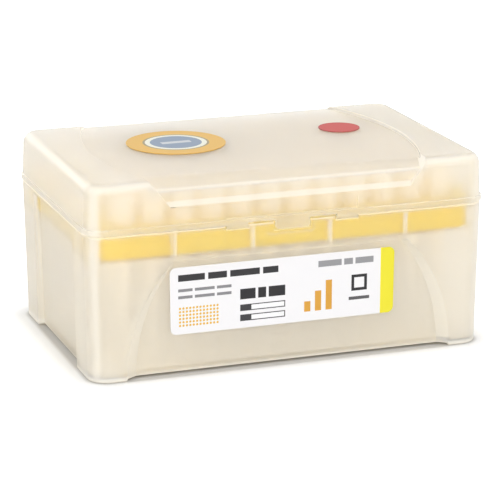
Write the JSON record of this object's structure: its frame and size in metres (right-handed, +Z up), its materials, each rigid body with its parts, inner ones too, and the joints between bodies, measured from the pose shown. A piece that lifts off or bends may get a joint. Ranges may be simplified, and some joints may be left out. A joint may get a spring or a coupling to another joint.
{
  "type": "box of pipette tips",
  "caption": "Hinged laboratory box with a translucent tub and snap lid, holding filter pipette tips upright in a tray on a 9 mm grid.",
  "frame": {"origin": "on the floor, under the middle of the closed box", "axes": "+X along the length, -Y towards the label and latch, +Y towards the hinges, +Z up"},
  "size_m": [0.1248, 0.0798, 0.059],
  "materials": {
    "tub_plastic": "natural translucent polypropylene, moulded, fine satin",
    "lid_plastic": "natural translucent polypropylene, moulded, fine satin",
    "tray_plastic": "yellow moulded polypropylene, with the tips in natural polypropylene",
    "tip_plastic": "natural translucent polypropylene of the tips, which the tray's solid holds",
    "filter_foam": "white sintered polyethylene of the filter plugs in the tips",
    "label_paper": "coated white label stock with printed fields",
    "sticker_paper": "coated round sticker in orange, white and grey-blue rings",
    "dot_paper": "coated red indicator dot"
  },
  "bodies": {
    "tub": {"base": "tub_plastic", "tip_tray": "tray_plastic", "front_label": "label_paper"},
    "lid": {"lid": "lid_plastic", "lid_sticker": "sticker_paper", "lid_dot": "dot_paper"}
  },
  "joints": [
    {"name": "lid_hinge", "type": "hinge", "parent": "tub", "child": "lid", "pos_m": [0, 0.03835, 0.0427], "axis": [-1, 0, 0], "range_deg": [0, 105]}
  ]
}
